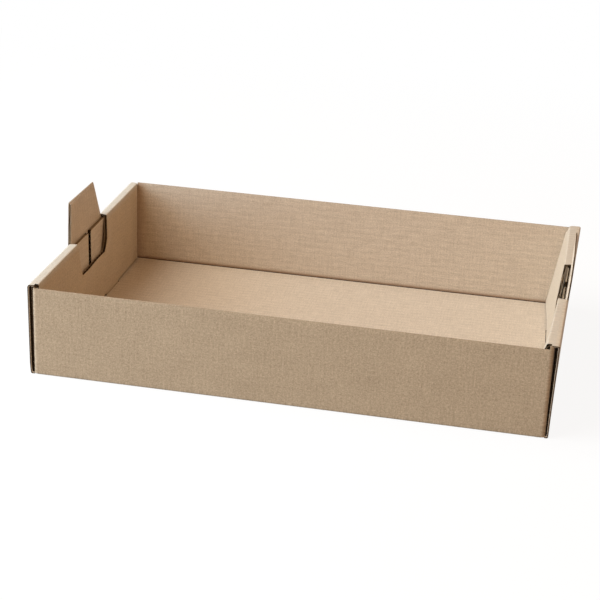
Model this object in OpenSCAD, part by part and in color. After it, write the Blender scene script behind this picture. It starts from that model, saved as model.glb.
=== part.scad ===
// Cardboard tray box, die-cut and folded from one sheet of corrugated board.
// Units are millimetres, X runs along the length, Y from front to back and Z up.
// The origin is the middle of the floor's underside.

/* [Tray] */
// Outside length over the two end panels
tray_length = 436; // [300:1:600]
// Outside width over the front and back walls
tray_width = 286; // [240:1:400]
// Height of the front and back walls
wall_height = 78; // [60:1:140]

/* [Board] */
// Thickness of the corrugated board
board = 2.7; // [2:0.1:4]
// Radius on the inside of each fold
fold_radius = 0.6; // [0.3:0.1:1.2]
// Gap between plies that lie against each other
ply_gap = 0.3; // [0.2:0.1:0.6]

/* [End panels] */
// How far the end panels stop short of the front and back faces
end_inset = 1; // [0.5:0.1:3]
// Gap between an inner end panel and the wall beside it
panel_side_gap = 0.6; // [0.3:0.1:3]
// Gap between the foot of an inner end panel and the floor
foot_gap = 0.4; // [0.2:0.1:2]
// How far the foot of the left inner end panel has sprung in from upright
left_spring = 0; // [0:0.5:12]
// How far the foot of the right inner end panel has sprung in from upright
right_spring = 8; // [0:0.5:12]

/* [Corner flaps] */
// Seam between the two flaps that meet behind an inner end panel
flap_seam = 4; // [1:0.5:20]

/* [Stacking tabs] */
// Width of a tab at its fold
tab_base = 86; // [66:1:120]
// Width of a tab at its free edge
tab_tip = 62; // [40:1:84]
// Length of a tab from its fold to its free edge
tab_reach = 38; // [25:1:50]
// Outward lean of the tabs in degrees
tab_lean = 6; // [0:0.5:12]
// Width of the knife cut that frees a tab on each side
knife_cut = 0.5; // [0.2:0.1:1.5]

/* [Lock tabs] */
// Width of each lock tab on the foot of an inner end panel
lock_width = 36; // [20:1:60]
// Distance from the middle of the end to the middle of a lock tab
lock_offset = 54; // [40:1:80]
// Gap between the tip of a lock tab and the underside of the floor
lock_tip_gap = 0.3; // [0.1:0.1:1]
// Room at each end of a lock tab in its floor slot
slot_end_room = 1.5; // [0.3:0.1:4]
// Room on each side of a lock tab in its floor slot
slot_side_room = 0.4; // [0.2:0.1:1]

/* [Hidden] */
$fn = 48;

// Outside radius of a fold
bend = fold_radius + board;
// Outer faces of the end panels and of the long walls
end_x = tray_length / 2;
side_y = tray_width / 2;
// Top of the strips that roll over the corner flaps
strip_top = wall_height + ply_gap + board;
// Outside width of a strip, over outer panel, corner flap and inner panel
strip_width = 3 * board + 2 * ply_gap;
// Middles of the folds at the two sides of a strip
outer_fold_x = end_x - bend;
inner_fold_x = end_x - strip_width + bend;
fold_z = strip_top - bend;
// Outer face of the corner flaps
flap_x = end_x - board - ply_gap;
// Half widths of the end panels and of the inner end panels
end_half = side_y - end_inset;
panel_half = side_y - board - panel_side_gap;
// Length of board used up by one square fold, along its middle
fold_arc = (fold_radius + board / 2) * PI / 2;
// Length of board from the fold of a tab to the top of the inner panel
strip_run = 2 * fold_arc + outer_fold_x - inner_fold_x;
// Face of an upright inner panel towards the goods
panel_face = end_x - strip_width;
// Half width of the cut that frees a tab, at a distance along the board from its fold
function tab_half(run) = (tab_base + (tab_tip - tab_base) * run / tab_reach) / 2;
// How far a sprung inner panel stands in from upright at a height
function panel_shift(z, spring) = spring * (fold_z - z) / (fold_z - board);

// Section of a square fold, in the quarter where both directions are positive
module fold_section() {
    intersection() {
        difference() {
            circle(r = bend);
            circle(r = fold_radius);
        }
        square(bend);
    }
}

// Carries a section drawn in length and height across the tray, about its middle
module across(width) {
    rotate([90, 0, 0]) linear_extrude(width, center = true) children();
}

// Floor with the slots that take the lock tabs
module floor_panel() {
    difference() {
        translate([-outer_fold_x, bend - side_y, 0])
            cube([2 * outer_fold_x, tray_width - 2 * bend, board]);
        floor_slots(right_spring);
        mirror([1, 0, 0]) floor_slots(left_spring);
    }
}

// Two slots at the foot of one inner end panel
module floor_slots(spring) {
    inside = panel_face - panel_shift(0, spring) - slot_side_room;
    outside = panel_face + board - spring + slot_side_room;
    slot_length = lock_width + 2 * slot_end_room;
    for (side = [-1, 1])
        translate([inside, side * lock_offset - slot_length / 2, -board])
            cube([outside - inside, slot_length, 3 * board]);
}

// Front wall with its bottom fold and the two corner flaps at its ends
module long_wall() {
    wall_half = flap_x - bend;
    flap_end = -flap_seam / 2;
    rotate([90, 0, 90]) linear_extrude(2 * wall_half, center = true) {
        translate([bend - side_y, bend]) rotate(180) fold_section();
        translate([-side_y, bend]) square([board, wall_height - bend]);
    }
    for (side = [0, 1])
        mirror([side, 0, 0]) translate([0, 0, bend]) linear_extrude(wall_height - bend) {
            translate([wall_half, bend - side_y]) rotate(-90) fold_section();
            translate([flap_x - board, bend - side_y]) square([board, flap_end - bend + side_y]);
        }
}

// One rolled end, with the strip cut away where its tab was
module rolled_end(spring) {
    difference() {
        union() {
            outer_panel();
            inner_panel(spring);
        }
        translate([0, 0, fold_z]) linear_extrude(2 * bend) polygon([
            [end_x + board, -tab_half(0)],
            [end_x + board, tab_half(0)],
            [outer_fold_x, tab_half(0)],
            [inner_fold_x, tab_half(strip_run)],
            [inner_fold_x, -tab_half(strip_run)],
            [outer_fold_x, -tab_half(0)]
        ]);
    }
    stacking_tab();
}

// Outer end panel with its bottom fold, its top fold and the strip
module outer_panel() {
    across(2 * end_half) {
        translate([outer_fold_x, bend]) rotate(-90) fold_section();
        translate([end_x - board, bend]) square([board, fold_z - bend]);
        translate([outer_fold_x, fold_z]) fold_section();
        strip_section();
    }
}

// Section of the flat part of a strip, between its two folds
module strip_section() {
    translate([inner_fold_x, strip_top - board]) square([outer_fold_x - inner_fold_x, board]);
}

// Inner end panel, hanging from the strip by its fold and trimmed to its outline
module inner_panel(spring) {
    intersection() {
        across(2 * panel_half) {
            strip_section();
            translate([inner_fold_x, fold_z]) rotate(90) fold_section();
            polygon([
                [panel_face, fold_z],
                [panel_face + board, fold_z],
                [panel_face + board - panel_shift(0, spring), 0],
                [panel_face - panel_shift(0, spring), 0]
            ]);
        }
        rotate([90, 0, 90]) linear_extrude(end_x) panel_outline();
    }
}

// Outline of an inner panel in width and height, with its lock tabs and the tab's notch
module panel_outline() {
    foot_z = board + foot_gap;
    notch_z = fold_z - tab_reach + strip_run;
    difference() {
        union() {
            translate([-end_half, foot_z]) square([2 * end_half, strip_top]);
            for (side = [-1, 1])
                translate([side * lock_offset - lock_width / 2, lock_tip_gap])
                    square([lock_width, strip_top]);
        }
        polygon([
            [-tab_half(tab_reach), notch_z],
            [tab_half(tab_reach), notch_z],
            [tab_half(strip_run), fold_z],
            [tab_half(strip_run), 2 * strip_top],
            [-tab_half(strip_run), 2 * strip_top],
            [-tab_half(strip_run), fold_z]
        ]);
    }
}

// Stacking tab that stands up from the outer end panel
module stacking_tab() {
    translate([outer_fold_x, 0, fold_z]) rotate([0, tab_lean, 0]) translate([fold_radius, 0, 0])
        rotate([90, 0, 90]) linear_extrude(board) polygon([
            [knife_cut - tab_half(0), 0],
            [tab_half(0) - knife_cut, 0],
            [tab_half(tab_reach) - knife_cut, tab_reach],
            [knife_cut - tab_half(tab_reach), tab_reach]
        ]);
}

// Whole tray as it stands, folded from one sheet
module tray() {
    color("burlywood") union() {
        floor_panel();
        long_wall();
        mirror([0, 1, 0]) long_wall();
        rolled_end(right_spring);
        mirror([1, 0, 0]) rolled_end(left_spring);
    }
}

tray();
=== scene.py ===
import math
from functools import partial

import bmesh
import bpy
import numpy as np
from mathutils import Matrix


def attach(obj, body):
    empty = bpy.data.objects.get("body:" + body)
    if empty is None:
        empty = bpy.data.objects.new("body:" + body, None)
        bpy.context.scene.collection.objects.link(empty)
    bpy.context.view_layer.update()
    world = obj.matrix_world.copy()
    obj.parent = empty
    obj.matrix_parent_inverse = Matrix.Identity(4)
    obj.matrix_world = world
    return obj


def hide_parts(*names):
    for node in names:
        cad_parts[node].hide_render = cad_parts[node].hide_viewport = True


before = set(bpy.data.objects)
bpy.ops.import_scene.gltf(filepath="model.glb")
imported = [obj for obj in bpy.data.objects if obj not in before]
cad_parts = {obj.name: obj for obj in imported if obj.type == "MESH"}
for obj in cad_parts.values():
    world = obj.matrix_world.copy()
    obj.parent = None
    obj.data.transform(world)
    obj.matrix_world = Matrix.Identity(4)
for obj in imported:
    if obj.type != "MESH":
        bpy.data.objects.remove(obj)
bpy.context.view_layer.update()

# Inside liner of the board: a sheet of brown kraft paper, glued to the crests of the fluted
# paper behind it. The tray is cut from one blank of this board with steel rule, creased and
# folded up, so all three papers follow the same folds. Sizes are in millimetres here.
millimetre = 0.001
tray_length = 436.0
tray_width = 286.0
wall_height = 78.0
board = 2.7
fold_radius = 0.6
ply_gap = 0.3
paper = 0.32
flute_pitch = 6.2
washboard = 0.07
tab_base = 86.0
tab_tip = 62.0
tab_reach = 38.0
tab_top = tab_reach - 0.1
tab_lean = math.radians(6)
tab_soft = 1.5
knife_cut = 0.5
lock_half = 18.0
lock_offset = 54.0
slot_end_room = 1.5
left_slot = (-212.5, -208.8)
right_slot = (201.8, 205.6)
flap_seam = 6.5
flap_foot = 0.9
end_inset = 1.0
panel_inset = board + 1.2
foot_z = board + 1.5
lock_tip_z = 0.3

bend = fold_radius + board
quarter = fold_radius * math.pi / 2
end_x = tray_length / 2
side_y = tray_width / 2
strip_top = wall_height + ply_gap + board
fold_z = strip_top - bend
outer_fold_x = end_x - bend
inner_fold_x = end_x - 3 * board - 2 * ply_gap + bend
wall_half = end_x - board - ply_gap - bend
floor_half = side_y - bend
panel_half = side_y - panel_inset
end_half = side_y - end_inset
wall_foot = floor_half + quarter
wall_run = wall_height - bend
wall_edge = wall_foot + wall_run

# Distances along the inside face of an end, from the floor's edge over the strip to the foot
tab_fold = quarter + fold_z - bend
strip_start = tab_fold + quarter
strip_end = strip_start + outer_fold_x - inner_fold_x
panel_start = strip_end + quarter
panel_foot = panel_start + fold_z - foot_z
lock_tip = panel_start + fold_z - lock_tip_z
mid_quarter = (fold_radius + board / 2) * math.pi / 2
strip_run = 2 * mid_quarter + outer_fold_x - inner_fold_x
notch_foot = panel_start + tab_reach - strip_run


def square_corner(turn, radius):
    """How much further out than a round fold a fold with a tighter outside radius reaches, at
    an angle of turn: out to the two flats, and to a small arc where those would meet."""
    inset = bend - radius
    lean = np.cos(turn) + np.sin(turn)
    arc = inset * lean + np.sqrt(np.clip(inset ** 2 * (lean ** 2 - 2) + radius ** 2, 0, None))
    flat = bend / np.maximum(np.cos(turn), np.sin(turn))
    along = bend * np.tan(np.minimum(turn, math.pi / 2 - turn))
    return np.where(along < inset, flat, arc) - bend


def folded_path(s, start, heading, runs, radii):
    """Walks along the inside face of a folded board: straight for each length in runs, with
    a quarter circle of fold_radius to the left after each but the last. Gives the point at
    every distance s, and how far the board goes from there to its outside per millimetre of
    its thickness. That is the normal to the right, longer in a fold that is pressed to a
    tighter outside radius."""
    s = np.maximum(s, 0.0)
    point = np.zeros(s.shape + (2,))
    outward = np.zeros(s.shape + (2,))
    place, ahead, done = np.array(start, float), np.array(heading, float), 0.0
    for number, run in enumerate(runs):
        right = np.array((ahead[1], -ahead[0]))
        here = s >= done
        point[here] = place + np.multiply.outer(s[here] - done, ahead)
        outward[here] = right
        place, done = place + run * ahead, done + run
        if number + 1 < len(runs):
            here = s > done
            turn = (s[here] - done) / fold_radius
            out = np.multiply.outer(np.cos(turn), right) + np.multiply.outer(np.sin(turn), ahead)
            middle = place - fold_radius * right
            point[here] = middle + fold_radius * out
            pressed = square_corner(np.clip(turn, 0, math.pi / 2), radii[number])
            outward[here] = out * (1 + pressed / board)[:, None]
            place, ahead, done = middle + fold_radius * ahead, -right, done + quarter
    return point, outward


def smooth(x):
    """Smooth step: 0 below 0, 1 above 1, and 3x^2 - 2x^3 between."""
    x = np.clip(x, 0, 1)
    return x * x * (3 - 2 * x)


foot_set_in = 0.5
foot_bow = 0.9


def hollow(y):
    """How far the foot of the right end is set in: least at its two corners, and more towards
    the middle, as a parabola."""
    return foot_set_in + foot_bow * np.clip(1 - (y / end_half) ** 2, 0, None)


wall_fold_radii = (1.8, 1.2)
back_rise = 2.9
corner_rise = 2.3
left_step, left_step_run = -211.0, 0.3
right_step_run = 0.8
front_drop, front_slope = 0.15, 0.45


def body_point(u, v, h):
    """Floor and long walls: the U section of the tray, v measured across it from the middle
    of the floor, carried along the length u. h is the depth into the board from inside. The
    back wall rises smoothly from its fold to stand up a little at its edge, and steps down
    where it goes under the strips. The front one drops, evenly more to the right. The floor is
    drawn in beyond the right slots, to where the right end's foot is set in."""
    at, out = folded_path(v + wall_edge, (board - side_y, wall_height), (0, -1),
                          (wall_run, 2 * floor_half, wall_run), wall_fold_radii)
    yz = at + out * h[..., None]
    between = np.where(u > 0, (wall_half - u) / right_step_run, (u - left_step) / left_step_run)
    kept = np.where(u > 0, corner_rise / back_rise, 0)
    risen = back_rise * smooth((v - wall_foot) / wall_run) * (kept + (1 - kept) * smooth(between))
    dropped = (front_drop + front_slope * u / wall_half) * smooth((-v - wall_foot) / wall_run)
    past_slot = (u - right_slot[1]) / (outer_fold_x - right_slot[1])
    drawn_in = hollow(v) * smooth(past_slot) * (np.abs(v) <= floor_half)
    return np.stack((u - drawn_in, yz[..., 0], yz[..., 1] + risen - dropped), -1)


right_lean, right_twist = 2.55, 1.15
left_lean = 0.7


def end_lean(side, y):
    """How far the top of an outer end panel leans out: the same all along on the left, and
    evenly more towards the back on the right."""
    if side > 0:
        return right_lean + right_twist * y / end_half
    return np.full(np.shape(y), left_lean)


right_fold_radii = (1.2, 1.4, 1.0)
left_fold_radii = (1.2, 3.0, 1.0)
roll_start, roll_run = 1.2, 3.4
side_curl = 4.15
foot_spring = (5.5, 1.65, 2.6)
back_lift, back_lift_y, back_lift_run = 2.2, 60.0, 80.0
notch_lips = ((2.0, 38.0, 10.0, 58.0, 11.0), (0.9, -16.0, 17.0, 46.0, 9.0))
panel_top_in = 0.4
panel_back_gap, panel_back_y, panel_back_run = 1.7, 110.0, 29.0
front_swell, front_swell_y, front_swell_run = 0.65, 40.0, 90.0
swell_foot = 8.0


def end_point(side, s, y, h):
    """Rolled end: floor edge, outer panel, strip and inner panel, s measured along the inside
    face, carried across the width y. It leans out evenly with height. Going over the strip's
    inner edge, the right inner panel springs in by the square of the distance from its middle,
    and evenly more towards its foot, and the end is lifted at the back. The left one stands in
    by two bell-shaped lips at its notch and ends short of the back wall, and the outer panel
    swells out towards the front."""
    at, out = folded_path(s, (outer_fold_x, board), (1, 0),
                          (0, fold_z - bend, outer_fold_x - inner_fold_x, fold_z),
                          right_fold_radii if side > 0 else left_fold_radii)
    xz = at + out * h[..., None]
    x, z = xz[..., 0], xz[..., 1]
    down = np.clip(1 - z / fold_z, 0, None)
    x = x + end_lean(side, y) * np.minimum(z / strip_top, 1)
    if side > 0:
        rolled = smooth((s - strip_end + roll_start) / roll_run)
        wide = np.abs(y) / panel_half
        spring = foot_spring[0] + foot_spring[1] * wide + foot_spring[2] * wide ** 2
        x = x - rolled * (side_curl * wide ** 2 + down * spring)
        x = x - hollow(y) * (1 - smooth(s / tab_fold))
        lift = back_lift * smooth((y - back_lift_y) / back_lift_run)
        z = z + lift * np.clip(z / strip_top, 0, 1)
    else:
        rolled = smooth((s - strip_end) / (3 * quarter))
        lips = sum(depth * np.exp(-((y - lip_y) / width) ** 2 - ((z - lip_z) / height) ** 2)
                   for depth, lip_y, width, lip_z, height in notch_lips)
        x = x - rolled * (lips + panel_top_in * (1 - down))
        y = y - rolled * panel_back_gap * smooth((y - panel_back_y) / panel_back_run)
        on_strip = (s - strip_start) / (strip_end - strip_start)
        swell = front_swell * smooth((-y - front_swell_y) / front_swell_run)
        x = x + swell * smooth(z / swell_foot) * (1 - smooth(on_strip))
    return np.stack((side * x, y, z), -1)


right_tab_bow = 0.5


def tab_point(side, s, y, h):
    """Stacking tab: goes on from the outer panel, bent outwards by its lean in its first soft
    millimetres, so its face is the running sum of the direction it has turned to. The panel's
    own lean dies out evenly to the tip, and the right tab is bowed as a parabola."""
    eased = np.minimum(s, tab_soft)
    x = tab_lean * eased ** 2 / (2 * tab_soft) + math.sin(tab_lean) * (s - eased)
    z = eased + math.cos(tab_lean) * (s - eased)
    turned = tab_lean * eased / tab_soft
    x = outer_fold_x + x + np.cos(turned) * (fold_radius + h)
    z = fold_z + z - np.sin(turned) * (fold_radius + h)
    x = x + end_lean(side, y) * fold_z / strip_top * (1 - s / tab_reach)
    bow = 4 * s / tab_reach * (1 - s / tab_reach)
    x = x + (right_tab_bow * bow if side > 0 else 0)
    return np.stack((side * x, y, z), -1)


flap_lean_run = 25.0
flap_set_in_run = 20.0
flap_rise_run = 40.0


def flap_point(side, face, s, v, h):
    """Corner flap: the end of a long wall, turned a square corner and carried on behind the
    inner panel, s measured along its inside face. v is the wall's own distance from the
    middle of the floor. Smoothly from the corner on, it takes up the lean of the outer panel,
    and on the right its set-in foot too. The right back flap leaves the corner as high as the
    back wall and comes down to its own height."""
    at, out = folded_path(s, (wall_half, board - side_y), (1, 0), (0, floor_half), (bend,))
    xy = at + out * h[..., None]
    x, y, z = xy[..., 0], face * xy[..., 1], v - wall_foot + bend
    x = x + end_lean(side, y) * z / strip_top * smooth(s / flap_lean_run)
    if side > 0:
        x = x - hollow(y) * (1 - smooth(z / tab_fold)) * smooth(s / flap_set_in_run)
    if side > 0 and face > 0:
        coming_down = 1 - smooth(s / flap_rise_run)
        z = z + corner_rise * smooth((v - wall_foot) / wall_run) * coming_down
    return np.stack((side * x, y, z), -1)


def end_edge(s, y):
    """Distance to the cut edge at the side of an end, from the edge of the outer panel and the
    strip going over to that of the inner panel."""
    return end_half - np.abs(y) - (end_half - panel_half) * smooth((s - strip_end) / quarter)


def tab_half(run):
    """Half width of the cut that frees a tab, narrowing evenly from its base to its tip."""
    return (tab_base + (tab_tip - tab_base) * run / tab_reach) / 2


def notch_half(s):
    """Half width of the notch at distance s along an end's inside face, from the length of
    board between the tab's fold and there along the board's middle."""
    run = np.interp(s, (tab_fold, strip_start, strip_end, panel_start, notch_foot),
                    (0, mid_quarter, strip_run - mid_quarter, strip_run, tab_reach))
    return tab_half(run)


skew, skew_start, skew_run = 0.048, 189.0, 12.0
skew_fade, skew_half = 5.0, 80.0


def slot_skew(u, v):
    """How far the floor is shifted to the left at the right slots, which stand askew as their
    lock tabs do: in proportion to the distance from a slot's middle, and fading out smoothly
    along the length and beyond the slots."""
    along = smooth((u - skew_start) / skew_run) * smooth((wall_half - u) / skew_fade)
    across = smooth((skew_half - np.abs(v)) / skew_fade)
    return skew * (np.abs(v) - lock_offset) * along * across


too_near = 0.3


def steps(low, high, size, *lines):
    """Evenly spaced stations that lie on multiples of size, with the two ends and the given
    lines kept exactly, and stations too near to one of those left out."""
    fixed = np.array([low, high] + [line for line in lines if low < line < high])
    even = np.arange(math.ceil(low / size), math.floor(high / size) + 1) * size
    clear = np.abs(even[:, None] - fixed).min(axis=1) > too_near * size
    return np.unique(np.concatenate((fixed, even[clear])))


def joined(*stations):
    """One rising run of stations from several that meet end to end."""
    return np.unique(np.round(np.concatenate(stations), 6))


# Each finish is the number of a paper's material. Its cut edges, and the side that lies in the
# board, take the next one. Black cut edges and faces are painted shade: for the dark of the open
# flutes, and where a corner stands open. Finish 4 gives the medium and the outside liner dark
# brown cut edges, painted shade too, and the inside liner pale ones.
black_shaded_edge, black_shaded_face, pale_edge, brown_shaded_edge = 0, 1, 2, 4
off_edge = 99.0
nudge = 0.01
near_edge = np.array((3.0, 2.2, 1.6, 1.1, 0.7, 0.35, 0.0))
corner_gap = (0.5, 2.4)
flap_tip = 3.0
flap_crush, flap_crush_run, flap_crush_fade = 40.0, 30.0, 4.0
touching = 1e-6


def paper_sheet(name, height, wear, outward, per_flute, rows, arc):
    """One paper of the folded blank as a welded surface. height(v, edge) is its depth into the
    board at a distance v across the flutes and at a distance from a crushed edge, and the third
    argument, a function of (u, v), is how much painted light it takes: painted shade on the
    inside liner, painted sheen on the outside one. outward is +1 where the paper faces the
    outside and -1 where it faces inside. It has per_flute columns in each flute, rows along the
    floor, and arc rows around each fold. Each patch is a grid of two blank distances, placed by
    one of the functions above."""
    step = flute_pitch / per_flute
    upright = rows // 3
    points, blanks, triangles, finishes = [], [], [], []

    def patch(place, a, b, u, v, edge=None, keep=None, finish=black_shaded_edge, painted=True):
        """Adds the grid that place(a, b, depth) makes, with the cells in keep, turned so that its
        normals point outwards, and notes its blank distances, its share of painted light and its
        finish. With its last flag false, the patch takes no painted light."""
        edge = np.full(v.shape, off_edge) if edge is None else edge
        h = height(v, edge)
        xyz = place(a, b, h)
        lifted = place(a, b, h + nudge)
        n, m = v.shape
        index = np.arange(n * m).reshape(n, m)
        cells = (index[:-1, :-1], index[1:, :-1], index[1:, 1:], index[:-1, 1:])
        quads = np.stack(cells, -1)
        finish = np.broadcast_to(finish, (n - 1, m - 1))
        if keep is not None:
            quads, finish = quads[keep], finish[keep]
        quads, finish = quads.reshape(-1, 4), finish.reshape(-1)
        flat, out = xyz.reshape(-1, 3), (lifted - xyz).reshape(-1, 3)
        turned = np.cross(flat[quads[:, 2]] - flat[quads[:, 0]],
                          flat[quads[:, 3]] - flat[quads[:, 1]])
        if (turned * out[quads[:, 0]]).sum() * outward < 0:
            quads = quads[:, ::-1]
        first = sum(len(done) for done in points)
        points.append(flat)
        blanks.append(np.stack((u, v, wear(u, v) * painted), -1).reshape(-1, 3))
        triangles.append(np.concatenate((quads[:, (0, 1, 2)], quads[:, (0, 2, 3)])) + first)
        finishes.append(np.concatenate((finish, finish)))

    # Floor with its slots, and the two long walls
    lock_low, lock_high = lock_offset - lock_half, lock_offset + lock_half
    slot_low, slot_high = lock_low - slot_end_room, lock_high + slot_end_room
    marks = [lock_low, lock_high, slot_low, slot_high, tab_base / 2, panel_half]
    floor_v = steps(-floor_half, floor_half, step, *marks, *[-mark for mark in marks])
    arc_v = np.linspace(floor_half, wall_foot, arc)
    wall_v = joined(steps(wall_foot, wall_edge - near_edge[0], step), wall_edge - near_edge)
    body_v = joined(-wall_v, -arc_v, floor_v, arc_v, wall_v)
    step_lines = (left_step, left_step + left_step_run / 2, left_step + left_step_run,
                  wall_half - right_step_run, wall_half - right_step_run / 2)
    body_u = joined(steps(-wall_half, wall_half, 2 * wall_half / rows, *step_lines, *right_slot),
                    [-outer_fold_x, *left_slot, outer_fold_x])
    u, v = np.meshgrid(body_u, body_v, indexing="ij")
    mid_u, mid_v = (u[:-1, :-1] + u[1:, 1:]) / 2, (v[:-1, :-1] + v[1:, 1:]) / 2
    keep = (np.abs(mid_u) < wall_half) | (np.abs(mid_v) < floor_half)
    in_slot = (np.abs(mid_v) > slot_low) & (np.abs(mid_v) < slot_high)
    for slot in (left_slot, right_slot):
        keep &= ~(in_slot & (mid_u > slot[0]) & (mid_u < slot[1]))
    patch(body_point, u - slot_skew(u, v), v, u, v, wall_edge - np.abs(v), keep,
          np.where(np.abs(mid_v) > wall_foot, pale_edge, black_shaded_edge))

    rise = joined(np.linspace(0, quarter, arc), np.linspace(quarter, tab_fold, upright))
    over = joined(np.linspace(tab_fold, strip_start, arc),
                  np.linspace(strip_end - roll_start, strip_end, arc // 3))
    hang = joined(np.linspace(strip_end, panel_start, arc),
                  np.linspace(panel_start, notch_foot, upright),
                  np.linspace(notch_foot, panel_foot, upright))
    wing = joined(rise, over)
    lock = np.array((panel_foot, lock_tip))
    tab_s = joined(np.linspace(0, tab_soft, 5),
                   np.linspace(tab_soft, tab_top - near_edge[0], upright), tab_top - near_edge)
    middle = floor_v[np.abs(floor_v) <= tab_base / 2 + touching]
    beyond = floor_v[floor_v >= tab_base / 2 - touching]
    outer_y = joined(beyond, end_half - near_edge[near_edge < end_half - floor_half])
    inner_y = beyond[beyond <= panel_half + touching]
    locking = beyond[beyond <= lock_high + touching]
    fan = np.linspace(0, 1, round((tab_base - tab_tip) / 2) + 1)
    under_notch = np.linspace(-1, 1, int(tab_tip / step) + 1)
    flap_end = quarter + floor_half - flap_seam / 2
    flap_s = joined(np.linspace(0, quarter, arc),
                    np.linspace(quarter, flap_end - flap_tip, upright))
    tip_s = np.array((flap_end - flap_tip, flap_end))

    for side in (-1, 1):
        end, tab = partial(end_point, side), partial(tab_point, side)

        def end_patch(s_rows, y_columns, finish=black_shaded_edge, painted=True):
            """Adds a patch of the rolled end, crushed by its distance from the end's side."""
            s, y = np.meshgrid(s_rows, y_columns, indexing="ij")
            patch(end, s, y, side * (outer_fold_x + s), y, end_edge(s, y), None, finish, painted)

        # Outer panel below the tab, the tab, and the inner panel below its notch
        end_patch(rise, middle, painted=False)
        s, t = np.meshgrid(tab_s, middle / (tab_base / 2), indexing="ij")
        y = t * (tab_half(s) - knife_cut * np.minimum(s / tab_soft, 1))
        rim = np.minimum(tab_half(s) - np.abs(y), tab_top - s) if side > 0 else tab_top - s
        # The right tab's medium and outside liner take dark brown painted shade on their cut
        # edges; the left tab's edges are pale.
        patch(tab, s, y, side * (outer_fold_x + tab_fold + s), y, rim, None,
              brown_shaded_edge if side > 0 else pale_edge, painted=False)
        # The left notch's medium and outside liner take dark brown painted shade on their cut
        # edges; the right notch's are pale.
        notch_edge = pale_edge if side > 0 else brown_shaded_edge
        s, t = np.meshgrid(hang[hang >= notch_foot - touching], under_notch, indexing="ij")
        y = t * tab_tip / 2
        patch(end, s, y, side * (outer_fold_x + s), y, finish=notch_edge)

        for face in (-1, 1):
            # Outer panel and strip beside the tab, with black painted shade on the inside face
            # where the corner stands open
            to_edge = end_half - outer_y[1:]
            gap = (to_edge > corner_gap[0]) & (to_edge < corner_gap[1]) & (outward < 0)
            gap = gap & (wing[1:, None] < strip_start)
            end_patch(wing, face * outer_y, np.where(gap, black_shaded_face, brown_shaded_edge))

            # Inner panel with its lock tab, fanned out between the notch and the tab's base
            end_patch(hang, face * inner_y)
            for along, finish in ((over, black_shaded_edge), (hang, notch_edge)):
                s, t = np.meshgrid(along, fan, indexing="ij")
                y = face * (notch_half(s) + t * (tab_base / 2 - notch_half(s)))
                patch(end, s, y, side * (outer_fold_x + s), y, finish=finish)
            end_patch(lock, face * locking)
            inner = tab_tip / 2 + fan * (tab_base - tab_tip) / 2
            end_patch(lock, face * inner[inner >= lock_low - touching])

            # Corner flap, with a short foot in its fold and a crushed edge near the corner
            flap = partial(flap_point, side, face)
            s, v = np.meshgrid(np.linspace(0, quarter, arc),
                               (wall_foot - bend + flap_foot, wall_foot), indexing="ij")
            patch(flap, s, v, side * (wall_half + s), -face * v, finish=pale_edge)
            # The flap's last millimetres have black cut edges, painted shade in the seam between
            # the two flaps.
            for reach, finish in ((flap_s, pale_edge), (tip_s, black_shaded_edge)):
                s, v = np.meshgrid(reach, wall_v, indexing="ij")
                uncrushed = flap_crush_fade * smooth((s - flap_crush) / flap_crush_run)
                patch(flap, s, v, side * (wall_half + s), -face * v, wall_edge - v + uncrushed,
                      finish=finish)

    mesh = bpy.data.meshes.new(name)
    mesh.from_pydata(np.concatenate(points) * millimetre, [], np.concatenate(triangles))
    mesh.polygons.foreach_set("material_index", np.concatenate(finishes))
    mesh.attributes.new("blank", "FLOAT_VECTOR", "POINT").data.foreach_set(
        "vector", np.concatenate(blanks).ravel())
    weld = bmesh.new()
    weld.from_mesh(mesh)
    bmesh.ops.remove_doubles(weld, verts=weld.verts, dist=touching)
    loose = [vert for vert in weld.verts if not vert.link_faces]
    bmesh.ops.delete(weld, geom=loose, context="VERTS")
    weld.to_mesh(mesh)
    weld.free()
    mesh.shade_smooth()
    sheet = bpy.data.objects.new(name, mesh)
    bpy.context.collection.objects.link(sheet)
    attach(sheet, "root")
    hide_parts("tray")
    return sheet


def flute_wave(v):
    """1 on a crest that touches the outside liner, -1 on one that touches the inside liner."""
    return np.cos(2 * math.pi * v / flute_pitch)


crush_run = 2.6
crush_depth = 1.7
front_crush, crush_change = 1.55, 1.4


def crush(edge):
    """How far the board is crushed shut by the rule at a free edge: fully at the edge, and
    smoothly less over the next millimetres."""
    return 1 - smooth(edge / crush_run)


def crush_inside(v):
    """How far the inside face is pushed in at a crushed edge: most of the crush at the front
    of the tray, going over smoothly to little at the back."""
    return front_crush - crush_change * smooth((v + tab_base / 2) / tab_base)


def crush_outside(v):
    """How far the outside face is pushed in at a crushed edge: the rest of the crush."""
    return crush_depth - crush_inside(v)


groove_depth = 0.65
groove_half = 0.75 * quarter
wall_fold_edge = (40.0, 90.0)


def inside_height(v, edge):
    """Inside face: drawn into the board a little between the crests that hold it, pinched
    into a bell-shaped groove along the long folds, a wall's height from the edge, and pushed
    in at a crushed edge."""
    groove = groove_depth * np.exp(-((np.abs(v) - floor_half - quarter / 2) / groove_half) ** 2)
    groove = np.where((edge > wall_fold_edge[0]) & (edge < wall_fold_edge[1]), groove, 0)
    return (washboard * (1 + flute_wave(v)) / 2 * (1 - crush(edge))
            + crush_inside(v) * crush(edge) + groove)


# Painted shade along the long folds and in the back wall's left corner: its peak, rise and half
# width at the folds, and its peak, start and run in the corner.
fold_shade_peak, fold_shade_rise, fold_shade_half = 0.65, 0.2, 1.5
corner_shade_peak, corner_shade_start, corner_shade_run = 0.4, 206.0, 2.5


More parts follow.
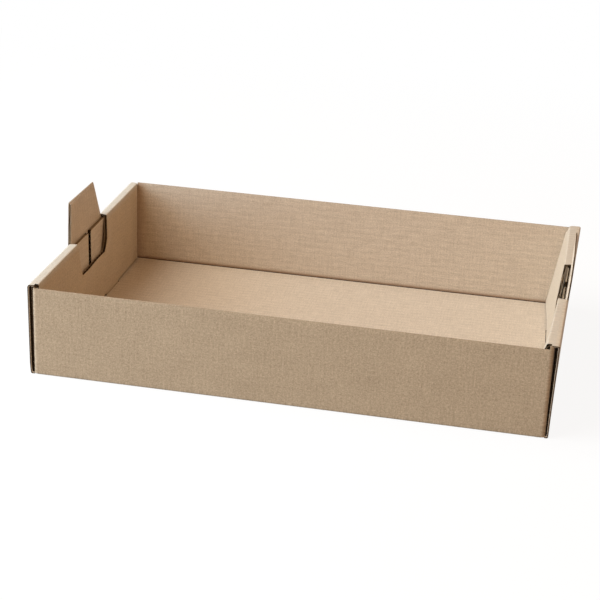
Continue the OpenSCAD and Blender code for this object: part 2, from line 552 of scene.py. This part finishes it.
def painted_fold_shade(u, v):
    """How much painted shade the inside face takes: a bell just above each long fold, painted
    shade for the dark brown in the crease, and in the back wall's left corner, smoothly more
    towards it, a painted shadow of the inner panel's edge."""
    past_fold = np.abs(v) - wall_foot - fold_shade_rise
    along = fold_shade_peak * np.exp(-(past_fold / fold_shade_half) ** 2)
    corner = corner_shade_peak * smooth((-u - corner_shade_start) / corner_shade_run) * (v > wall_foot)
    return np.where(np.abs(u) < wall_half, np.maximum(along, corner), 0)


cut_angle = math.radians(50)


def thick(sheet, thickness, offset, even=True):
    """Gives a sheet its paper thickness, to one side of its surface or to both, and sharp cut
    edges. Its cut edges, and the side that lies in the board, take the material after the one of
    its face; where that is a black or dark brown cut material, it is painted shade for the dark
    of the open flutes."""
    solid = sheet.modifiers.new("paper", "SOLIDIFY")
    solid.thickness = thickness * millimetre
    solid.offset = offset
    solid.use_even_offset = even
    solid.material_offset = 1
    solid.material_offset_rim = 1
    sharp = sheet.modifiers.new("sharp_cut_edges", "EDGE_SPLIT")
    sharp.split_angle = cut_angle
    sharp.use_edge_sharp = False


grain_roughness, shift_across = 0.6, 1.7
crest_strength, fine_streak_share, streak_height = 0.6, 0.8, 0.5


def kraft_fibres():
    """Shader group for kraft paper, on distances over the flat blank in millimetres. Each layer
    is noise stretched to a length and a width, taken about zero and scaled: streaks along the
    flutes, hatching across them, fine speckle, coarser flecks, soft mottling, and the faint
    lines where the crests show through. Shade is their sum about a half, Height the fine part."""
    group = bpy.data.node_groups.new("kraft_fibres", "ShaderNodeTree")
    face = group.interface
    face.new_socket("Blank", in_out="INPUT", socket_type="NodeSocketVector")
    for amount in ("Streaks", "Hatching", "Speckle", "Flecks", "Mottling", "Crests"):
        face.new_socket(amount, in_out="INPUT", socket_type="NodeSocketFloat")
    face.new_socket("Shade", in_out="OUTPUT", socket_type="NodeSocketFloat")
    face.new_socket("Height", in_out="OUTPUT", socket_type="NodeSocketFloat")
    nodes, links = group.nodes, group.links
    given = nodes.new("NodeGroupInput")
    put = nodes.new("NodeGroupOutput")

    def math_node(operation, first, second):
        """Output of a Math node on two sockets or numbers."""
        node = nodes.new("ShaderNodeMath")
        node.operation = operation
        for socket, value in zip(node.inputs, (first, second)):
            if isinstance(value, (int, float)):
                socket.default_value = value
            else:
                links.new(value, socket)
        return node.outputs[0]

    def grain(length, width, detail, shift):
        """Noise about zero, with grains of a length along the flutes and a width across them."""
        spread = nodes.new("ShaderNodeVectorMath")
        spread.operation = "MULTIPLY_ADD"
        links.new(given.outputs["Blank"], spread.inputs[0])
        spread.inputs[1].default_value = (1 / length, 1 / width, 0)
        spread.inputs[2].default_value = (shift, shift_across * shift, 0)
        noise = nodes.new("ShaderNodeTexNoise")
        noise.noise_dimensions = "2D"
        noise.inputs["Scale"].default_value = 1
        noise.inputs["Detail"].default_value = detail
        noise.inputs["Roughness"].default_value = grain_roughness
        links.new(spread.outputs[0], noise.inputs["Vector"])
        return math_node("SUBTRACT", noise.outputs["Fac"], 0.5)

    across = nodes.new("ShaderNodeSeparateXYZ")
    links.new(given.outputs["Blank"], across.inputs[0])
    turn = math_node("MULTIPLY", across.outputs["Y"], 2 * math.pi / flute_pitch)
    patchy = math_node("ADD", grain(45, 9, 1, 40), crest_strength)
    fine_streaks = math_node("MULTIPLY", grain(7, 0.9, 1, 9), fine_streak_share)
    layers = {
        "Streaks": math_node("ADD", grain(15, 1.8, 1, 3), fine_streaks),
        "Hatching": grain(1.5, 20, 2, 17),
        "Speckle": grain(1.2, 1.05, 2, 23),
        "Flecks": grain(2.5, 2.1, 1, 51),
        "Mottling": grain(38, 24, 2, 31),
        "Crests": math_node("MULTIPLY", math_node("COSINE", turn, 0), patchy),
    }
    total = 0.5
    for amount, layer in layers.items():
        total = math_node("ADD", total, math_node("MULTIPLY", layer, given.outputs[amount]))
    links.new(total, put.inputs["Shade"])
    raised_streaks = math_node("MULTIPLY", layers["Streaks"], streak_height)
    links.new(math_node("ADD", layers["Speckle"], raised_streaks), put.inputs["Height"])
    return group


def colour_mix(tree, factor):
    """Mix node of two colours by a factor socket, with its two inputs and its output."""
    mix = tree.nodes.new("ShaderNodeMix")
    mix.data_type = "RGBA"
    tree.links.new(factor, mix.inputs["Factor"])
    first, second = [socket for socket in mix.inputs if socket.type == "RGBA"]
    return first, second, [socket for socket in mix.outputs if socket.type == "RGBA"][0]


sheen_share, sheen_roughness = 0.5, 0.4
fibre_relief, fibre_height = 0.35, 0.08


def kraft_material(name, dark, light, painted, roughness, gloss, **amounts):
    """Kraft paper that runs from a dark to a light brown with the shade of its fibres, and from
    there to a third colour, the painted one, by the share of painted light kept as the third
    number of the blank."""
    material = bpy.data.materials.new(name)
    material.use_nodes = True
    tree = material.node_tree
    nodes, links = tree.nodes, tree.links
    shader = nodes["Principled BSDF"]
    shader.inputs["Roughness"].default_value = roughness
    shader.inputs["Specular IOR Level"].default_value = gloss
    shader.inputs["Sheen Weight"].default_value = sheen_share * gloss
    shader.inputs["Sheen Roughness"].default_value = sheen_roughness
    blank = nodes.new("ShaderNodeAttribute")
    blank.attribute_name = "blank"
    fibres = nodes.new("ShaderNodeGroup")
    fibres.node_tree = fibre_group
    links.new(blank.outputs["Vector"], fibres.inputs["Blank"])
    for amount, value in amounts.items():
        fibres.inputs[amount].default_value = value
    darkest, lightest, tone = colour_mix(tree, fibres.outputs["Shade"])
    darkest.default_value = (*dark, 1)
    lightest.default_value = (*light, 1)
    # The third number of the blank is the share of painted light: painted shade or painted sheen.
    wear = nodes.new("ShaderNodeSeparateXYZ")
    links.new(blank.outputs["Vector"], wear.inputs[0])
    before, after, painted_tone = colour_mix(tree, wear.outputs["Z"])
    links.new(tone, before)
    after.default_value = (*painted, 1)
    links.new(painted_tone, shader.inputs["Base Color"])
    bump = nodes.new("ShaderNodeBump")
    bump.inputs["Strength"].default_value = fibre_relief
    bump.inputs["Distance"].default_value = fibre_height * millimetre
    links.new(fibres.outputs["Height"], bump.inputs["Height"])
    links.new(bump.outputs["Normal"], shader.inputs["Normal"])
    return material


fibre_group = kraft_fibres()
paper_rough, paper_gloss = 0.6, 0.5
cut_rough, cut_gloss = 0.95, 0.0
# Cut materials go towards this black where the blank carries painted light.
painted_black = (0, 0, 0)
# Its third colour is the red brown of the painted shade along the long folds and in the back
# wall's left corner.
inside_kraft = kraft_material(
    "inside_kraft", dark=(0.34, 0.258, 0.182), light=(0.82, 0.69, 0.54), painted=(0.36, 0.18, 0.08),
    roughness=paper_rough, gloss=paper_gloss,
    Streaks=0.28, Hatching=0.28, Speckle=0.75, Mottling=0.08, Crests=0.05)
# Black painted shade for cut edges and for the board's inside: the dark of the open flutes.
black_shaded_cut = kraft_material(
    "black_shaded_cut", dark=(0.006, 0.004, 0.002), light=(0.05, 0.032, 0.018), painted=painted_black,
    roughness=cut_rough, gloss=cut_gloss, Speckle=1.0)
# Dark brown painted shade for the cut edges of the medium and the outside liner.
brown_shaded_cut = kraft_material(
    "brown_shaded_cut", dark=(0.05, 0.033, 0.02), light=(0.16, 0.11, 0.07), painted=painted_black,
    roughness=cut_rough, gloss=cut_gloss, Speckle=1.0)
torn_kraft = kraft_material(
    "torn_kraft", dark=(0.25, 0.19, 0.13), light=(0.55, 0.44, 0.32), painted=painted_black,
    roughness=cut_rough, gloss=cut_gloss, Speckle=1.0)

liner_grid = {"per_flute": 4, "rows": 36, "arc": 13}
inside_liner = paper_sheet("inside_liner", inside_height, painted_fold_shade, -1, **liner_grid)
thick(inside_liner, paper, -1)
for finish in (inside_kraft, black_shaded_cut, inside_kraft, torn_kraft, inside_kraft, torn_kraft):
    inside_liner.data.materials.append(finish)


# Fluted medium: the paper between the liners, run through hot corrugating rolls so that it
# stands in waves along the blank, and glued to both liners at its crests.
medium_paper = 0.22
medium_swing = (board - 2 * paper - medium_paper) / 2
crushed_flat = 0.9


def unpainted(u, v):
    """No painted light: the medium lies between the liners."""
    return np.zeros(np.shape(v))


def medium_height(v, edge):
    """Middle of the fluted paper: a cosine wave across the flutes, flattened at a crushed edge
    and shifted there to the middle of what is left of the board."""
    shift = (crush_inside(v) - crush_outside(v)) / 2 * crush(edge)
    return board / 2 + shift + medium_swing * flute_wave(v) * (1 - crushed_flat * crush(edge))


medium_grid = {"per_flute": 8, "rows": 12, "arc": 7}
fluted_medium = paper_sheet("fluted_medium", medium_height, unpainted, 1, **medium_grid)
thick(fluted_medium, medium_paper, 0, even=False)
# The medium's own brown, darkened as painted shade for the dark inside the flutes.
shaded_medium_kraft = kraft_material(
    "shaded_medium_kraft", dark=(0.06, 0.04, 0.022), light=(0.20, 0.14, 0.085), painted=painted_black,
    roughness=cut_rough, gloss=cut_gloss, Streaks=0.5, Speckle=0.6)
for finish in (shaded_medium_kraft, black_shaded_cut, shaded_medium_kraft, torn_kraft, shaded_medium_kraft, brown_shaded_cut):
    fluted_medium.data.materials.append(finish)


# Outside liner: the second sheet of kraft paper, on the outside of the folds. It also shows
# on the strips and on the inner end panels, which are rolled over from outside.
def outside_height(v, edge):
    """Outside face: the board's full thickness on the crests, less a little between them,
    and drawn in at a crushed edge."""
    return (board - washboard * (1 - flute_wave(v)) / 2 * (1 - crush(edge))
            - crush_outside(v) * crush(edge))


# Painted sheen on the rolled-over paper: its share on the left strip, the right strip and the
# right inner panel, and where it starts and fades.
left_strip_sheen = 0.75
right_strip_sheen, right_panel_sheen = 0.15, 0.3
sheen_below, sheen_past, sheen_fade = 3.0, 1.0, 2.0


def painted_sheen(u, v):
    """How much painted sheen the paper takes where it is rolled over, a pale colour standing in
    for the whitish grazing reflection there, smoothly from the outer panel up to the strip: most
    on the left strip, less on the right one and the inner panel that has sprung in from it."""
    s = np.abs(u) - outer_fold_x
    strip = (smooth((s - tab_fold + sheen_below) / sheen_fade)
             * smooth((panel_start + sheen_past - s) / sheen_fade))
    right = right_panel_sheen * smooth((s - tab_fold) / sheen_fade) + right_strip_sheen * strip
    return np.where(u < 0, left_strip_sheen * strip, right)


outside_liner = paper_sheet("outside_liner", outside_height, painted_sheen, 1, **liner_grid)
thick(outside_liner, paper, -1)
# Its third colour is the pale grey of the painted sheen on the strips and the right inner panel.
outside_kraft = kraft_material(
    "outside_kraft", dark=(0.307, 0.216, 0.132), light=(0.735, 0.58, 0.40),
    painted=(0.55, 0.52, 0.455), roughness=paper_rough, gloss=paper_gloss,
    Streaks=0.1, Hatching=0.28, Speckle=0.85, Flecks=0.42, Mottling=0.18)
for finish in (outside_kraft, black_shaded_cut, outside_kraft, torn_kraft, outside_kraft, brown_shaded_cut):
    outside_liner.data.materials.append(finish)


# Studio: a plain pale floor that fades to white, two large soft lamps on the left, one over the
# other and the lower one cooler, and the pale room around it.
floor_reach = 6.0
floor_grey = 0.3
floor_glow = 0.9
footprint_rim = (0.97, 0.99)
fade_out = (1.5, 7.0)


def seen_or_mirrored(tree):
    """Socket that is 1 on rays from the camera, on mirrored rays and on rays through glass."""
    path = tree.nodes.new("ShaderNodeLightPath")
    mirrored = tree.nodes.new("ShaderNodeMath")
    mirrored.operation = "MAXIMUM"
    tree.links.new(path.outputs["Is Glossy Ray"], mirrored.inputs[0])
    tree.links.new(path.outputs["Is Transmission Ray"], mirrored.inputs[1])
    either = tree.nodes.new("ShaderNodeMath")
    either.operation = "MAXIMUM"
    tree.links.new(path.outputs["Is Camera Ray"], either.inputs[0])
    tree.links.new(mirrored.outputs[0], either.inputs[1])
    return either.outputs[0]


def ramp(tree, value, span, top):
    """Socket that goes evenly from 0 to top while a value goes through a span."""
    node = tree.nodes.new("ShaderNodeMapRange")
    node.inputs["From Min"].default_value, node.inputs["From Max"].default_value = span
    node.inputs["To Max"].default_value = top
    tree.links.new(value, node.inputs["Value"])
    return node.outputs["Result"]


def glow_share(tree, seen):
    """Socket for how far the floor is white by itself on seen rays: not at all under the tray,
    mostly around it, and fully from a few lengths of the tray on. Distance is the larger of the
    two sides' shares of the tray's half length and half width."""
    nodes, links = tree.nodes, tree.links
    ground = nodes.new("ShaderNodeTexCoord")
    shares = nodes.new("ShaderNodeVectorMath")
    shares.operation = "DIVIDE"
    links.new(ground.outputs["Object"], shares.inputs[0])
    shares.inputs[1].default_value = (end_x * millimetre, side_y * millimetre, 1)
    unsigned = nodes.new("ShaderNodeVectorMath")
    unsigned.operation = "ABSOLUTE"
    links.new(shares.outputs[0], unsigned.inputs[0])
    both = nodes.new("ShaderNodeSeparateXYZ")
    links.new(unsigned.outputs[0], both.inputs[0])
    furthest = nodes.new("ShaderNodeMath")
    furthest.operation = "MAXIMUM"
    links.new(both.outputs["X"], furthest.inputs[0])
    links.new(both.outputs["Y"], furthest.inputs[1])
    white = nodes.new("ShaderNodeMath")
    white.operation = "ADD"
    links.new(ramp(tree, furthest.outputs[0], footprint_rim, floor_glow), white.inputs[0])
    links.new(ramp(tree, furthest.outputs[0], fade_out, 1 - floor_glow), white.inputs[1])
    share = nodes.new("ShaderNodeMath")
    share.operation = "MULTIPLY"
    links.new(seen, share.inputs[0])
    links.new(white.outputs[0], share.inputs[1])
    return share.outputs[0]


floor_mesh = bpy.data.meshes.new("studio_floor")
floor_corners = np.array(((-1, -1, 0), (1, -1, 0), (1, 1, 0), (-1, 1, 0))) * floor_reach
floor_mesh.from_pydata(floor_corners, [], [(0, 1, 2, 3)])
studio_floor = bpy.data.objects.new("studio_floor", floor_mesh)
bpy.context.collection.objects.link(studio_floor)
floor_white = bpy.data.materials.new("floor_white")
floor_white.use_nodes = True
nodes, links = floor_white.node_tree.nodes, floor_white.node_tree.links
nodes.clear()
seen = seen_or_mirrored(floor_white.node_tree)
tone = nodes.new("ShaderNodeMapRange")
tone.inputs["To Min"].default_value = floor_grey
links.new(seen, tone.inputs["Value"])
matt = nodes.new("ShaderNodeBsdfDiffuse")
links.new(tone.outputs["Result"], matt.inputs["Color"])
glow = nodes.new("ShaderNodeEmission")
mix = nodes.new("ShaderNodeMixShader")
surface = nodes.new("ShaderNodeOutputMaterial")
links.new(glow_share(floor_white.node_tree, seen), mix.inputs["Fac"])
links.new(matt.outputs[0], mix.inputs[1])
links.new(glow.outputs[0], mix.inputs[2])
links.new(mix.outputs[0], surface.inputs["Surface"])
floor_mesh.materials.append(floor_white)

world = bpy.data.worlds.new("studio")
bpy.context.scene.world = world
world.use_nodes = True
nodes, links = world.node_tree.nodes, world.node_tree.links
room_colour, room_strength = (1.0, 0.62, 0.33, 1), 0.46
room = nodes["Background"]
room.inputs["Color"].default_value = room_colour
room.inputs["Strength"].default_value = room_strength
paper_white = nodes.new("ShaderNodeBackground")
paper_white.inputs["Color"].default_value = (1, 1, 1, 1)
mix = nodes.new("ShaderNodeMixShader")
links.new(seen_or_mirrored(world.node_tree), mix.inputs["Fac"])
links.new(room.outputs[0], mix.inputs[1])
links.new(paper_white.outputs[0], mix.inputs[2])
links.new(mix.outputs[0], nodes["World Output"].inputs["Surface"])

lamp_distance = 2.2
lamp_width, lamp_height = 2.8, 1.5
lamp_lift = 0.65
toward = np.array((-0.74, -0.27, 0.58))
toward = toward / np.linalg.norm(toward)
across = np.cross((0, 0, 1), toward)
across = across / np.linalg.norm(across)
upward = np.cross(toward, across)
turn = Matrix(np.column_stack((across, upward, toward)).tolist()).to_4x4()
for name, lift, energy, colour in (("upper_lamp", lamp_lift, 43.5, (0.96, 1.0, 0.985)),
                                   ("lower_lamp", -lamp_lift, 62, (0.65, 0.825, 1.0))):
    lamp = bpy.data.lights.new(name, "AREA")
    lamp.shape = "ELLIPSE"
    lamp.size = lamp_width
    lamp.size_y = lamp_height
    lamp.energy = energy
    lamp.color = colour
    soft_lamp = bpy.data.objects.new(name, lamp)
    bpy.context.collection.objects.link(soft_lamp)
    stand = toward * lamp_distance + upward * lift
    soft_lamp.matrix_world = Matrix.Translation(stand.tolist()) @ turn


# Camera: stands a little right of the middle and looks down on the tray, as in the photograph.
# Its place, its three angles and its focal length are fitted to the tray's edges there.
azimuth, elevation, roll = (math.radians(angle) for angle in (10.904, 22.436, 2.363))
focal_pixels = 1629.447
picture_pixels = 600
camera_stand = (0.238816, -1.324102, 0.592026)
back = np.array((math.sin(azimuth) * math.cos(elevation),
                 -math.cos(azimuth) * math.cos(elevation), math.sin(elevation)))
level_right = np.array((math.cos(azimuth), math.sin(azimuth), 0))
level_up = np.cross(back, level_right)
right = math.cos(roll) * level_right + math.sin(roll) * level_up
up = -math.sin(roll) * level_right + math.cos(roll) * level_up
lens = bpy.data.cameras.new("camera")
lens.sensor_width = 36
lens.lens = focal_pixels / picture_pixels * lens.sensor_width
camera = bpy.data.objects.new("camera", lens)
bpy.context.collection.objects.link(camera)
turn = Matrix(np.column_stack((right, up, back)).tolist()).to_4x4()
camera.matrix_world = Matrix.Translation(camera_stand) @ turn
bpy.context.scene.camera = camera
bpy.context.scene.view_settings.view_transform = "Standard"
